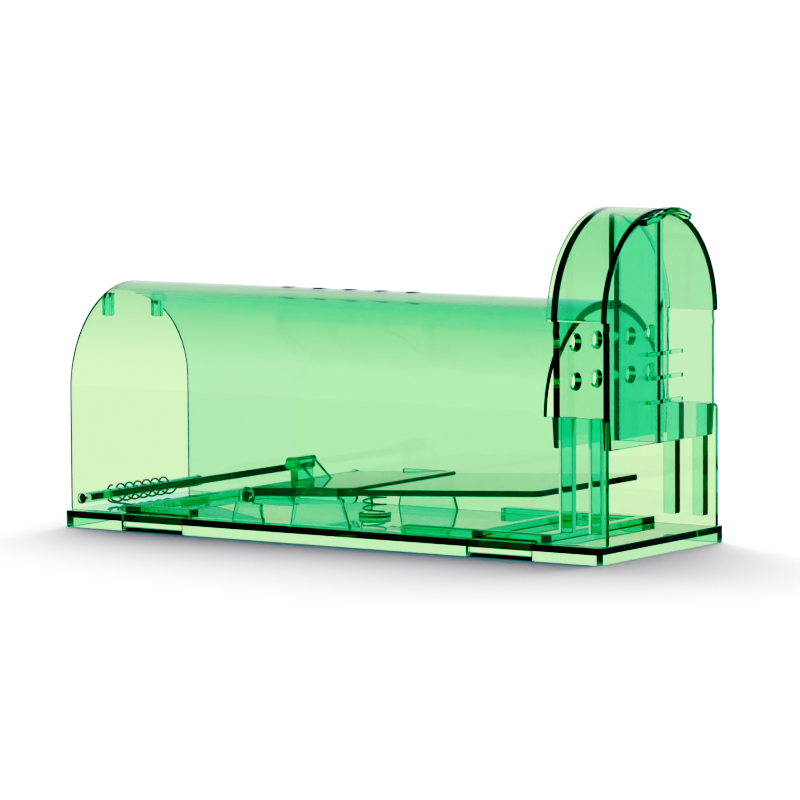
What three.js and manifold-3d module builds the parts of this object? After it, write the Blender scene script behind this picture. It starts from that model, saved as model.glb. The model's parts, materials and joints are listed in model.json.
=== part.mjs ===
// Live catch trap for mice: a clear green tunnel on a floor tray, with a sprung drop-up door at one end,
// a tilting treadle that holds the door open, and a bait cap that slides up the other end.
// Millimetres. +X runs to the cap end, +Z is up, and the origin is the middle of the tray's footprint.
import * as THREE from 'three';
import { mergeVertices } from 'three/addons/utils/BufferGeometryUtils.js';
import Module from 'manifold-3d';

const wasm = await Module();
wasm.setup();

// ---- Floor tray
const baseLength = 170;
const baseWidth = 62;
const baseHeight = 4.5;
const basePlate = 2;
const skirtWall = 2.2;
const baseCorner = 1.6;
const ribHeight = 1.8;
const sideRib = 4.2;
const crossRib = 3.6;

// ---- Tunnel cover
const tunnelMargin = 3;
const coverWall = 1.5;
const springHeight = 36.9;
const ventRadius = 2;
const ventPitch = 10;
const ventCount = 5;
const firstVent = 53;
const clipLength = 20;
const clipCentres = [29.3, 139.5];

// ---- Bait cap
const capLength = 18;
const capInset = 0.1;
const capPanel = 1.95;
const panelInset = 1.1;
const cutGap = 0.6;
const capWeb = 1.6;
const capHold = 8.1;
const railDepth = 2.4;
const railWidth = 3.9;
const railFoot = 2.9;
const lipReach = 2;
const lipHalf = 12;
const baitHoleRadius = 2.35;
const baitHoleSides = [-17.9, -7.7, 7.7, 17.9];
const baitHoleHeights = [16.8, 26.8];

// ---- Door
const doorAngle = 10;
const doorPlate = 1.8;
const doorTopGap = 4.1;
const doorSideGap = 0.35;
const hingeInset = 3.6;
const hingeHeight = 7.6;
const axleRadius = 1.4;
const stopOverlap = 0.9;

// ---- Treadle
const treadleAngle = 2.9;
const pivotHeight = 11.3;
const leverLength = 33.6;
const leverTop = 2;
const leverBottom = -0.3;
const paddlePlate = 1.6;
const paddleTop = 1.5;
const barrelRadius = 2;
const hookHalf = 4.5;
const catchClearance = 0.3;

// ---- Springs
const coilRadius = 3.05;
const coilWire = 0.22;
const coilTurns = 3.5;
const torsionRadius = 2.35;
const torsionWire = 0.26;
const torsionTurns = 7;
const torsionPitch = 3.8;

// ---- Fits
const seatGap = 0.05;
const slideGap = 0.3;
const pinGap = 0.1;
const bracketWall = 1.3;
const bracketGap = 0.2;
const arcSteps = 48;

// ---- Places worked out from the sizes above
const halfLength = baseLength / 2;
const halfBase = baseWidth / 2;
const coverHalf = halfBase - tunnelMargin;
const coverInner = coverHalf - coverWall;
const capStart = halfLength - capInset - capLength;
const coverCut = capStart - cutGap;
const innerPanel = capStart + panelInset;
const capLift = springHeight - baseHeight - slideGap - capHold;
const capEnd = capStart + capLength;
const bracketOuter = coverInner - bracketGap;
const bracketInner = bracketOuter - bracketWall;
const swingHalf = bracketInner - doorSideGap;
const hingeX = -halfLength + hingeInset;
const doorLength = springHeight + coverInner - doorTopGap - hingeHeight;
const doorTip = hingeX + doorLength * Math.cos(THREE.MathUtils.degToRad(doorAngle));
const noseBack = 1.9;
const pivotX = doorTip + catchClearance + noseBack + 0.35;
const paddleEnd = coverCut - 3.2;
const springReach = 23.7;

const leaf = { colour: 0x3fcf7a, roughness: 0.08, metalness: 0, opacity: 0.45 };
const steel = { colour: 0x9aa0a2, roughness: 0.3, metalness: 1, opacity: 1 };

const trap = new THREE.Group();
trap.name = 'live_catch_trap';

// A named mesh with a material of its own, added to a group.
function addPart(group, name, geometry, finish) {
  const material = new THREE.MeshStandardMaterial({
    color: finish.colour,
    roughness: finish.roughness,
    metalness: finish.metalness,
    transparent: finish.opacity < 1,
    opacity: finish.opacity,
  });
  const mesh = new THREE.Mesh(geometry, material);
  mesh.name = name;
  group.add(mesh);
  return mesh;
}

function box(x0, x1, y0, y1, z0, z1) {
  const geometry = new THREE.BoxGeometry(x1 - x0, y1 - y0, z1 - z0);
  geometry.translate((x0 + x1) / 2, (y0 + y1) / 2, (z0 + z1) / 2);
  return geometry;
}

// An outline given in Y and Z, extruded along X.
function extrudeAlongX(shape, x0, x1) {
  const geometry = new THREE.ExtrudeGeometry(shape, { depth: x1 - x0, bevelEnabled: false, curveSegments: arcSteps });
  const turn = new THREE.Matrix4().makeBasis(
    new THREE.Vector3(0, 1, 0), new THREE.Vector3(0, 0, 1), new THREE.Vector3(1, 0, 0));
  geometry.applyMatrix4(turn);
  geometry.translate(x0, 0, 0);
  return geometry;
}

// An outline given in X and Z, extruded along Y.
function extrudeAlongY(shape, y0, y1) {
  const geometry = new THREE.ExtrudeGeometry(shape, { depth: y1 - y0, bevelEnabled: false, curveSegments: 24 });
  const turn = new THREE.Matrix4().makeBasis(
    new THREE.Vector3(1, 0, 0), new THREE.Vector3(0, 0, 1), new THREE.Vector3(0, -1, 0));
  geometry.applyMatrix4(turn);
  geometry.translate(0, y1, 0);
  return geometry;
}

// An outline given in X and Y, extruded along Z.
function extrudeAlongZ(shape, z0, z1) {
  const geometry = new THREE.ExtrudeGeometry(shape, { depth: z1 - z0, bevelEnabled: false, curveSegments: 8 });
  geometry.translate(0, 0, z0);
  return geometry;
}

function toSolid(geometry) {
  const bare = geometry.clone();
  bare.deleteAttribute('normal');
  bare.deleteAttribute('uv');
  const merged = mergeVertices(bare, 1e-4);
  const vertProperties = new Float32Array(merged.attributes.position.array);
  const triVerts = new Uint32Array(merged.index.array);
  return new wasm.Manifold(new wasm.Mesh({ numProp: 3, vertProperties, triVerts }));
}

function fromSolid(solid) {
  const mesh = solid.getMesh();
  const geometry = new THREE.BufferGeometry();
  geometry.setAttribute('position', new THREE.BufferAttribute(new Float32Array(mesh.vertProperties), 3));
  geometry.setIndex(new THREE.BufferAttribute(new Uint32Array(mesh.triVerts), 1));
  geometry.computeVertexNormals();
  return geometry;
}

function cut(geometry, ...tools) {
  let solid = toSolid(geometry);
  for (const tool of tools) {
    solid = solid.subtract(toSolid(tool));
  }
  return fromSolid(solid);
}

function polygon(points) {
  return new THREE.Shape(points.map(([a, b]) => new THREE.Vector2(a, b)));
}

// A round-topped band of even wall, open at the bottom.
function archBand(outer, wall, foot, centre) {
  const inner = outer - wall;
  const points = [[outer, foot]];
  for (let i = 0; i <= arcSteps; i += 1) {
    const angle = Math.PI * i / arcSteps;
    points.push([outer * Math.cos(angle), centre + outer * Math.sin(angle)]);
  }
  points.push([-outer, foot], [-inner, foot]);
  for (let i = arcSteps; i >= 0; i -= 1) {
    const angle = Math.PI * i / arcSteps;
    points.push([inner * Math.cos(angle), centre + inner * Math.sin(angle)]);
  }
  points.push([inner, foot]);
  return polygon(points);
}

// ---------------------------------------------------------------- floor tray

// The tray's outline, with a notch for each snap clip on both long sides.
function trayOutline() {
  const x = halfLength;
  const y = halfBase;
  const notch = coverInner - seatGap;
  const half = clipLength / 2;
  const corner = baseCorner;
  const centres = clipCentres.map((c) => c - halfLength);
  const shape = new THREE.Shape();
  shape.moveTo(-x + corner, -y);
  for (const centre of centres) {
    shape.lineTo(centre - half, -y);
    shape.lineTo(centre - half, -notch);
    shape.lineTo(centre + half, -notch);
    shape.lineTo(centre + half, -y);
  }
  shape.lineTo(x - corner, -y);
  shape.absarc(x - corner, -y + corner, corner, -Math.PI / 2, 0, false);
  shape.lineTo(x, y - corner);
  shape.absarc(x - corner, y - corner, corner, 0, Math.PI / 2, false);
  for (const centre of [...centres].reverse()) {
    shape.lineTo(centre + half, y);
    shape.lineTo(centre + half, notch);
    shape.lineTo(centre - half, notch);
    shape.lineTo(centre - half, y);
  }
  shape.lineTo(-x + corner, y);
  shape.absarc(-x + corner, y - corner, corner, Math.PI / 2, Math.PI, false);
  shape.lineTo(-x, -y + corner);
  shape.absarc(-x + corner, -y + corner, corner, Math.PI, Math.PI * 1.5, false);
  return shape;
}

function makeTray(group) {
  const block = extrudeAlongZ(trayOutline(), 0, baseHeight);
  const x = halfLength - skirtWall;
  const y = halfBase - skirtWall;
  const hollow = box(-x, x, -y, y, -1, baseHeight - basePlate);
  addPart(group, 'base_tray', cut(block, hollow), leaf);
}

// A low rib frame on the floor: two ribs beside the walls, joined by cross ribs that start at each crossing.
function makeRibFrame(group, name, x0, x1, crossings) {
  const outer = coverInner - 0.3;
  const inner = outer - sideRib;
  const top = baseHeight + ribHeight;
  let solid = toSolid(box(x0, x1, -outer, -inner, baseHeight, top));
  solid = solid.add(toSolid(box(x0, x1, inner, outer, baseHeight, top)));
  for (const x of crossings) {
    solid = solid.add(toSolid(box(x, x + crossRib, -outer, outer, baseHeight, top)));
  }
  addPart(group, name, fromSolid(solid), leaf);
}

// The treadle's bearing bracket: a foot that narrows upwards to a round ear with the axle's hole in it.
function pivotOutline() {
  const ear = 2.3;
  const shoulder = 9.3;
  const shape = new THREE.Shape();
  shape.moveTo(pivotX - 4.7, baseHeight);
  shape.lineTo(pivotX + 5.7, baseHeight);
  shape.lineTo(pivotX + 4.9, shoulder);
  shape.lineTo(pivotX + ear, shoulder);
  shape.lineTo(pivotX + ear, pivotHeight);
  shape.absarc(pivotX, pivotHeight, ear, 0, Math.PI, false);
  shape.lineTo(pivotX - ear, shoulder);
  shape.lineTo(pivotX - 3.2, shoulder);
  shape.closePath();
  const hole = new THREE.Path();
  hole.absarc(pivotX, pivotHeight, axleRadius + pinGap, 0, Math.PI * 2, true);
  shape.holes.push(hole);
  return shape;
}

// The bracket that guides the lever's side: sloping shoulders, and a tongue up to the lever's top.
function guideOutline() {
  const start = pivotX + 14.3;
  const shoulder = pivotHeight + 0.7;
  const top = pivotHeight + 3.5;
  return polygon([[start, baseHeight], [start + 19.2, baseHeight], [start + 16.8, shoulder],
    [start + 15.4, shoulder], [start + 15.4, top], [start + 1.7, top], [start + 1.5, shoulder]]);
}

function makeBrackets(group) {
  const sides = [['near', -bracketOuter, -bracketInner], ['far', bracketInner, bracketOuter]];
  for (const [side, y0, y1] of sides) {
    addPart(group, `pivot_bracket_${side}`, extrudeAlongY(pivotOutline(), y0, y1), leaf);
    addPart(group, `guide_bracket_${side}`, extrudeAlongY(guideOutline(), y0, y1), leaf);
  }
}

function makeSpringBoss(group) {
  const geometry = new THREE.CylinderGeometry(4.1, 4.3, 1.3, 32);
  geometry.rotateX(Math.PI / 2);
  geometry.translate(pivotX + springReach, 0, baseHeight + 0.65);
  addPart(group, 'spring_boss', geometry, leaf);
}

// ---------------------------------------------------------------- tunnel cover

function makeCover(group) {
  const band = archBand(coverHalf, coverWall, baseHeight, springHeight);
  const tube = extrudeAlongX(band, -halfLength, halfLength);
  const round = 1.6;
  const opening = new THREE.Shape();
  opening.moveTo(coverCut, springHeight);
  opening.lineTo(halfLength - round, springHeight);
  opening.absarc(halfLength - round, springHeight - round, round, Math.PI / 2, 0, true);
  opening.lineTo(halfLength + 5, springHeight - round);
  opening.lineTo(halfLength + 5, springHeight + coverHalf + 5);
  opening.lineTo(coverCut, springHeight + coverHalf + 5);
  opening.closePath();
  const tools = [extrudeAlongY(opening, -halfBase, halfBase)];
  for (let i = 0; i < ventCount; i += 1) {
    const vent = new THREE.CylinderGeometry(ventRadius, ventRadius, 10, 24);
    vent.rotateX(Math.PI / 2);
    vent.translate(-halfLength + firstVent + i * ventPitch, 0, springHeight + coverHalf);
    tools.push(vent);
  }
  // One bore through both walls holds the ends of the door's axle.
  const hinge = new THREE.CylinderGeometry(axleRadius + pinGap, axleRadius + pinGap, baseWidth, 24);
  hinge.translate(hingeX, 0, hingeHeight);
  tools.push(hinge);
  addPart(group, 'tunnel_cover', cut(tube, ...tools), leaf);
}

// The ribs inside the walls that the cap's two panels straddle.
function makeRails(group) {
  const first = innerPanel + capPanel + slideGap;
  const last = capEnd - capPanel - slideGap;
  const spans = [['inner', first, first + railWidth], ['outer', last - railWidth + 0.4, last]];
  for (const [place, x0, x1] of spans) {
    for (const [side, sign] of [['near', -1], ['far', 1]]) {
      const ya = sign * coverInner;
      const yb = sign * (coverInner - railDepth);
      const rail = box(x0, x1, Math.min(ya, yb), Math.max(ya, yb), baseHeight + railFoot, springHeight);
      addPart(group, `guide_rail_${place}_${side}`, rail, leaf);
    }
  }
}

const stopY = 11.2;
const stopHalf = 1.3;
const stopLength = 2.6;
const doorArch = swingHalf;
const doorArchTop = hingeHeight + doorLength;

// The height of the tunnel's ceiling above the floor line at a distance y from the middle.
function ceiling(y) {
  return springHeight + Math.sqrt((coverInner - seatGap) ** 2 - y * y);
}

function makeDoorStops(group) {
  const edge = doorArchTop - doorArch + Math.sqrt(doorArch ** 2 - stopY ** 2);
  const foot = edge - stopOverlap;
  for (const [side, sign] of [['near', -1], ['far', 1]]) {
    const a = stopY - stopHalf;
    const b = stopY + stopHalf;
    const outline = [[a, foot], [b, foot], [b, ceiling(b)], [a, ceiling(a)]];
    const points = sign > 0 ? outline : outline.map(([y, z]) => [-y, z]).reverse();
    addPart(group, `door_stop_${side}`, extrudeAlongX(polygon(points), -halfLength, -halfLength + stopLength), leaf);
  }
}

// A snap clip: a tongue in the tray's notch, flush with the tray's edge, with a round bead under it.
function clipOutline() {
  const shape = new THREE.Shape();
  const face = halfBase - 0.3;
  const under = baseHeight - basePlate;
  const bead = 0.8;
  shape.moveTo(coverInner + 0.15, baseHeight);
  shape.lineTo(coverInner + 0.15, under);
  shape.lineTo(face - 1.8, under);
  shape.lineTo(face - 1.8, under - 2 * bead);
  shape.lineTo(face - bead, under - 2 * bead);
  shape.absarc(face - bead, under - bead, bead, -Math.PI / 2, Math.PI / 2, false);
  shape.lineTo(face, under);
  shape.lineTo(face, baseHeight);
  shape.closePath();
  return shape;
}

function makeClips(group) {
  const half = clipLength / 2 - 0.3;
  clipCentres.forEach((centre, index) => {
    const place = index === 0 ? 'door_end' : 'cap_end';
    const x = centre - halfLength;
    for (const side of ['near', 'far']) {
      const clip = extrudeAlongX(clipOutline(), -half, half);
      if (side === 'near') {
        clip.rotateZ(Math.PI);
      }
      clip.translate(x, 0, 0);
      addPart(group, `snap_clip_${place}_${side}`, clip, leaf);
    }
  });
}

// ---------------------------------------------------------------- bait cap

// A panel's own outline: under the spring line it stands clear of the walls and narrows to its foot.
function panelOutline() {
  const half = coverInner - slideGap;
  const crown = coverInner - seatGap;
  const centre = springHeight + slideGap;
  const foot = baseHeight + slideGap;
  const points = [[-half + 0.8, foot], [half - 0.8, foot], [half, foot + 8.5], [half, centre]];
  for (let i = 0; i <= arcSteps; i += 1) {
    const angle = Math.PI * i / arcSteps;
    points.push([crown * Math.cos(angle), centre + crown * Math.sin(angle)]);
  }
  points.push([-half, centre], [-half, foot + 8.5]);
  return polygon(points);
}

// The cap is drawn lowered, and its group lifts it to where it stands open.
function makeCap() {
  const cap = new THREE.Group();
  cap.position.z = capLift;
  const centre = springHeight + slideGap;
  const hood = archBand(coverHalf, coverWall, centre, centre);
  addPart(cap, 'cap_hood', extrudeAlongX(hood, capStart, capEnd), leaf);

  const pierced = panelOutline();
  for (const z of baitHoleHeights) {
    for (const y of baitHoleSides) {
      const hole = new THREE.Path();
      hole.absarc(y, baseHeight + z, baitHoleRadius, 0, Math.PI * 2, true);
      pierced.holes.push(hole);
    }
  }
  addPart(cap, 'cap_pierced_panel', extrudeAlongX(pierced, innerPanel, innerPanel + capPanel), leaf);
  addPart(cap, 'cap_outer_panel', extrudeAlongX(panelOutline(), capEnd - capPanel, capEnd), leaf);

  const webTop = centre + coverInner - 2 * seatGap;
  const web = box(innerPanel + capPanel, capEnd - capPanel, -capWeb / 2, capWeb / 2, baseHeight + slideGap, webTop);
  addPart(cap, 'cap_web', web, leaf);

  // The lip follows the hood's crown and leans out over the end panel.
  const lipPoints = [];
  const lipSteps = 12;
  const span = Math.asin(lipHalf / coverHalf);
  const lipTop = coverHalf - 0.1;
  const lipUnder = coverHalf - 1.8;
  for (let i = 0; i <= lipSteps; i += 1) {
    const angle = -span + 2 * span * i / lipSteps;
    lipPoints.push([lipUnder * Math.sin(angle), centre + lipUnder * Math.cos(angle)]);
  }
  for (let i = lipSteps; i >= 0; i -= 1) {
    const angle = -span + 2 * span * i / lipSteps;
    lipPoints.push([lipTop * Math.sin(angle), centre + lipTop * Math.cos(angle)]);
  }
  addPart(cap, 'cap_finger_lip', extrudeAlongX(polygon(lipPoints.reverse()), capEnd, capEnd + lipReach), leaf);

  for (let i = 0; i < 3; i += 1) {
    const z = baseHeight + 11.2 + i * 6.2;
    const rib = box(capEnd, capEnd + 1.2, -8, 8, z - 0.5, z + 0.5);
    addPart(cap, `grip_rib_${i + 1}`, rib, leaf);
  }
  return cap;
}

// ---------------------------------------------------------------- door

function axle(half) {
  return new THREE.CylinderGeometry(axleRadius, axleRadius, 2 * half, 24);
}

// The door is drawn lying along +X from its hinge line.
function makeDoor() {
  const door = new THREE.Group();
  door.position.set(hingeX, 0, hingeHeight);
  door.rotation.y = -THREE.MathUtils.degToRad(doorAngle);
  const centre = doorLength - doorArch;
  const shape = new THREE.Shape();
  const start = axleRadius + seatGap;
  shape.moveTo(start, -doorArch);
  shape.lineTo(centre, -doorArch);
  shape.absarc(centre, 0, doorArch, -Math.PI / 2, Math.PI / 2, false);
  shape.lineTo(start, doorArch);
  // The middle of the foot is cut back to clear the torsion spring.
  const spring = torsionTurns * torsionPitch / 2 + 1.6;
  shape.lineTo(start, spring);
  shape.lineTo(start + 3.2, spring);
  shape.lineTo(start + 3.2, -spring);
  shape.lineTo(start, -spring);
  shape.closePath();
  const plate = new THREE.ExtrudeGeometry(shape, { depth: doorPlate, bevelEnabled: false, curveSegments: arcSteps });
  plate.translate(0, 0, -doorPlate / 2);
  addPart(door, 'door_panel', plate, leaf);
  addPart(door, 'door_axle', axle(coverHalf - 0.3), leaf);
  return door;
}

// ---------------------------------------------------------------- treadle

// The treadle is drawn level, with +X running from its axle to the paddle's free end.
function makeTreadle() {
  const treadle = new THREE.Group();
  treadle.position.set(pivotX, 0, pivotHeight);
  treadle.rotation.y = -THREE.MathUtils.degToRad(treadleAngle);
  const half = swingHalf;
  addPart(treadle, 'treadle_axle', axle(bracketOuter - 0.1), leaf);

  const ring = new THREE.Shape();
  ring.absarc(0, 0, barrelRadius, 0, Math.PI * 2, false);
  const bore = new THREE.Path();
  bore.absarc(0, 0, axleRadius + seatGap, 0, Math.PI * 2, true);
  ring.holes.push(bore);
  addPart(treadle, 'treadle_barrel', extrudeAlongY(ring, -half, half), leaf);

  const leverStart = barrelRadius + seatGap;
  addPart(treadle, 'treadle_lever', box(leverStart, leverLength, -half, half, leverBottom, leverTop), leaf);

  const reach = (paddleEnd - pivotX) / Math.cos(THREE.MathUtils.degToRad(treadleAngle));
  const corner = 2;
  const paddle = new THREE.Shape();
  paddle.moveTo(leverLength, -half);
  paddle.lineTo(reach - corner, -half);
  paddle.absarc(reach - corner, -half + corner, corner, -Math.PI / 2, 0, false);
  paddle.lineTo(reach, half - corner);
  paddle.absarc(reach - corner, half - corner, corner, 0, Math.PI / 2, false);
  paddle.lineTo(leverLength, half);
  paddle.closePath();
  addPart(treadle, 'treadle_paddle', extrudeAlongZ(paddle, paddleTop - paddlePlate, paddleTop), leaf);

  const neckFront = -0.4;
  const headTop = 8.2;
  const headFoot = 4.9;
  const neckBack = 1.7;
  const headBack = 2.4;
  const hook = polygon([[neckFront, barrelRadius + seatGap], [neckBack, barrelRadius + seatGap],
    [neckBack, headFoot], [headBack, headFoot], [headBack, headTop], [-noseBack + 0.5, headTop],
    [-noseBack, headTop - 0.5], [-noseBack, headFoot + 0.3], [neckFront, headFoot]]);
  addPart(treadle, 'catch_hook', extrudeAlongY(hook, -hookHalf, hookHalf), leaf);

  const gusset = polygon([[headBack, leverTop], [headBack + 4.6, leverTop], [headBack, headTop - 1.5]]);
  const ribStart = 11.8;
  const ribDepth = 1.9;
  for (const [side, sign] of [['near', -1], ['far', 1]]) {
    const g0 = sign * (hookHalf - 1.2);
    const g1 = sign * hookHalf;
    addPart(treadle, `hook_gusset_${side}`, extrudeAlongY(gusset, Math.min(g0, g1), Math.max(g0, g1)), leaf);

    const rib = new THREE.Shape();
    rib.moveTo(ribStart, leverBottom);
    rib.absarc(ribStart + ribDepth, leverBottom, ribDepth, Math.PI, Math.PI * 1.5, false);
    rib.lineTo(leverLength - ribDepth, leverBottom - ribDepth);
    rib.absarc(leverLength - ribDepth, leverBottom, ribDepth, Math.PI * 1.5, Math.PI * 2, false);
    rib.closePath();
    const r0 = sign * (half - 2.4);
    const r1 = sign * (half - 1.2);
    addPart(treadle, `treadle_rib_${side}`, extrudeAlongY(rib, Math.min(r0, r1), Math.max(r0, r1)), leaf);
  }

  const peg = new THREE.CylinderGeometry(1.6, 1.6, 1.8, 20);
  peg.rotateX(Math.PI / 2);
  peg.translate(springReach, 0, leverBottom - 0.9);
  addPart(treadle, 'spring_peg', peg, leaf);
  return treadle;
}

// ---------------------------------------------------------------- springs

class Helix extends THREE.Curve {
  constructor(radius, height, turns, phase = 0) {
    super();
    this.radius = radius;
    this.height = height;
    this.turns = turns;
    this.phase = phase;
  }

  getPoint(t, target = new THREE.Vector3()) {
    const angle = this.phase + Math.PI * 2 * this.turns * t;
    return target.set(this.radius * Math.cos(angle), this.radius * Math.sin(angle), this.height * t);
  }
}

function wireAlong(curve, radius, steps, sides) {
  const section = new THREE.Shape();
  for (let i = 0; i < sides; i += 1) {
    const angle = Math.PI * 2 * i / sides;
    const x = radius * Math.cos(angle);
    const y = radius * Math.sin(angle);
    if (i === 0) {
      section.moveTo(x, y);
    } else {
      section.lineTo(x, y);
    }
  }
  section.closePath();
  return new THREE.ExtrudeGeometry(section, { steps, extrudePath: curve, bevelEnabled: false });
}

// The compression spring between the floor's boss and the treadle's underside.
function makeReturnSpring(group) {
  const foot = baseHeight + 1.3 + coilWire + seatGap;
  const tilt = THREE.MathUtils.degToRad(treadleAngle);
  const under = pivotHeight + (springReach - coilRadius) * Math.tan(tilt) + leverBottom;
  const height = under - coilWire - 2 * seatGap - foot;
  const coil = wireAlong(new Helix(coilRadius, height, coilTurns), coilWire, 84, 8);
  const mesh = addPart(group, 'return_spring', coil, steel);
  mesh.position.set(pivotX + springReach, 0, foot);
}

// The torsion spring wound on the door's axle, drawn as its coil.
function makeTorsionSpring(group) {
  const length = torsionTurns * torsionPitch;
  const coil = wireAlong(new Helix(torsionRadius, length, torsionTurns), torsionWire, 160, 6);
  coil.rotateX(Math.PI / 2);
  const mesh = addPart(group, 'door_torsion_spring', coil, steel);
  mesh.position.set(hingeX, length / 2, hingeHeight);
}

makeTray(trap);
makeRibFrame(trap, 'floor_rib_frame_cap_end', coverCut - 44.9, coverCut + 0.4,
  [coverCut - 24.3, coverCut + 0.4 - crossRib]);
makeRibFrame(trap, 'floor_rib_frame_door_end', hingeX + 13.8, hingeX + 35.2, [hingeX + 13.8]);
makeBrackets(trap);
makeSpringBoss(trap);
makeCover(trap);
makeRails(trap);
makeDoorStops(trap);
makeClips(trap);
makeReturnSpring(trap);
makeTorsionSpring(trap);
trap.add(makeCap());
trap.add(makeDoor());
trap.add(makeTreadle());

export default trap;
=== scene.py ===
"""Live catch trap: a clear green tunnel with a drop-up door, a tilting treadle and a sliding bait cap.

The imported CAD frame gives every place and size. Each moulding is built here as one clean body with rounded
rims, as it leaves its mould, and stands for the CAD nodes that divide it. Lengths inside the classes are in
millimetres and are turned into metres when a mesh is made.
"""

import json
import logging
import math
from dataclasses import dataclass, field
from enum import Enum
from typing import Any, Iterable, Sequence

import bmesh
import bpy
from mathutils import Matrix, Vector


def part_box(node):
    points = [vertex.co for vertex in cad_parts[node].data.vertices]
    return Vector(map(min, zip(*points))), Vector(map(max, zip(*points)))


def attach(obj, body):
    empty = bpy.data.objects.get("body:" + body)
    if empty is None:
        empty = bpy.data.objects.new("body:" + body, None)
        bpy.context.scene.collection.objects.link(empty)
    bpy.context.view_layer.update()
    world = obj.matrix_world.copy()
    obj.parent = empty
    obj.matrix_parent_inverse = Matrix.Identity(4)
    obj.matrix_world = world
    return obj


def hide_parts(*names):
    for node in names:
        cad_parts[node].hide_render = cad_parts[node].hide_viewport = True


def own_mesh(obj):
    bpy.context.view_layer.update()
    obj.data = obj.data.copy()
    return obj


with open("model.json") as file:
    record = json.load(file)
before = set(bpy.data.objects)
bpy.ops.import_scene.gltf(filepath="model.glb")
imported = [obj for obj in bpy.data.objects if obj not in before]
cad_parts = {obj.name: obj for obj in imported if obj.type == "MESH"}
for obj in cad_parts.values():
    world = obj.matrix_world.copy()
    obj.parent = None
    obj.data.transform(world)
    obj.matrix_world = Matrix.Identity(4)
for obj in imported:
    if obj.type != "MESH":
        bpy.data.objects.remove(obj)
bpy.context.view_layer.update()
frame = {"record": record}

MM = 0.001
SHARP = 32.0
WELD = 0.002
LOG = logging.getLogger("trap")
Point = tuple[float, float]
Outline = list[Point]


class Body(Enum):
    """The four rigid bodies that pieces ride on."""

    TRAP = "trap"
    CAP = "cap"
    DOOR = "door"
    TREADLE = "treadle"


class Slot(Enum):
    """The record's material slots."""

    PLASTIC = "clear_green_plastic"
    STEEL = "spring_steel"


class Axis(Enum):
    """The axis an outline is extruded along, with the two axes the outline is drawn in."""

    X = (1, 2, 0)
    Y = (0, 2, 1)
    Z = (0, 1, 2)


@dataclass(frozen=True)
class Box:
    """A node's corners in millimetres."""

    x0: float
    y0: float
    z0: float
    x1: float
    y1: float
    z1: float

    @classmethod
    def of(cls, node: str) -> "Box":
        """Return the box of a CAD node."""
        low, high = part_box(node)
        return cls(*(value / MM for value in (*low, *high)))

    @property
    def length(self) -> float:
        """Size along X."""
        return self.x1 - self.x0

    @property
    def height(self) -> float:
        """Size along Z."""
        return self.z1 - self.z0

    @property
    def middle(self) -> tuple[float, float, float]:
        """The box's centre."""
        return (self.x0 + self.x1) / 2, (self.y0 + self.y1) / 2, (self.z0 + self.z1) / 2


def joint_place(name: str) -> Vector:
    """Return a hinge's position in millimetres.

    Args:
        name: The joint's name in the record.

    Returns:
        The point on the hinge's axis.
    """
    rows = frame["record"]["behaviour"]["joints"]
    row = next(entry for entry in rows if entry["name"] == name)
    return Vector(row["pos_m"]) / MM


# ---- outlines


def arc(centre: Point, radius: float, start: float, end: float, steps: int) -> Outline:
    """Return points along an arc.

    Args:
        centre: The arc's centre.
        radius: Its radius.
        start: First angle in degrees.
        end: Last angle in degrees.
        steps: Number of chords.

    Returns:
        steps + 1 points.
    """
    points = []
    for index in range(steps + 1):
        angle = math.radians(start + (end - start) * index / steps)
        points.append((centre[0] + radius * math.cos(angle), centre[1] + radius * math.sin(angle)))
    return points


def rectangle(a0: float, a1: float, b0: float, b1: float) -> Outline:
    """Return a rectangle's corners, anticlockwise."""
    return [(a0, b0), (a1, b0), (a1, b1), (a0, b1)]


def rounded(points: Sequence[Point], radii: dict[int, float], steps: int = 6) -> Outline:
    """Round chosen corners of an outline.

    Args:
        points: The outline's corners.
        radii: Corner index to radius.
        steps: Chords in each round.

    Returns:
        The outline with each chosen corner turned into an arc.
    """
    result: Outline = []
    count = len(points)
    for index, corner in enumerate(points):
        radius = radii.get(index, 0.0)
        if radius <= 0:
            result.append(corner)
            continue
        here = Vector(corner)
        before = (Vector(points[index - 1]) - here).normalized()
        after = (Vector(points[(index + 1) % count]) - here).normalized()
        half = before.angle(after) / 2
        reach = radius / math.tan(half)
        centre = here + (before + after).normalized() * (radius / math.sin(half))
        first = here + before * reach
        last = here + after * reach
        a0 = math.atan2(first.y - centre.y, first.x - centre.x)
        a1 = math.atan2(last.y - centre.y, last.x - centre.x)
        turn = (a1 - a0 + math.pi) % (2 * math.pi) - math.pi
        for step in range(steps + 1):
            angle = a0 + turn * step / steps
            result.append((centre.x + radius * math.cos(angle), centre.y + radius * math.sin(angle)))
    return result


def mirrored(points: Sequence[Point]) -> Outline:
    """Return an outline mirrored left to right, keeping its direction."""
    return [(-a, b) for a, b in reversed(points)]


def shrunk(points: Sequence[Point], margin: float) -> Outline:
    """Return an outline drawn in towards its middle, so that its box loses a margin on every side."""
    wide = [a for a, _ in points]
    tall = [b for _, b in points]
    middle = ((min(wide) + max(wide)) / 2, (min(tall) + max(tall)) / 2)
    scale = (1 - 2 * margin / (max(wide) - min(wide)), 1 - 2 * margin / (max(tall) - min(tall)))
    return [tuple(m + (value - m) * k for value, m, k in zip(point, middle, scale)) for point in points]


# ---- solids


def new_object(name: str, data: bpy.types.ID) -> bpy.types.Object:
    """Return a new object in the scene that holds the given data."""
    made = bpy.data.objects.new(name, data)
    bpy.context.collection.objects.link(made)
    return made


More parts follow.
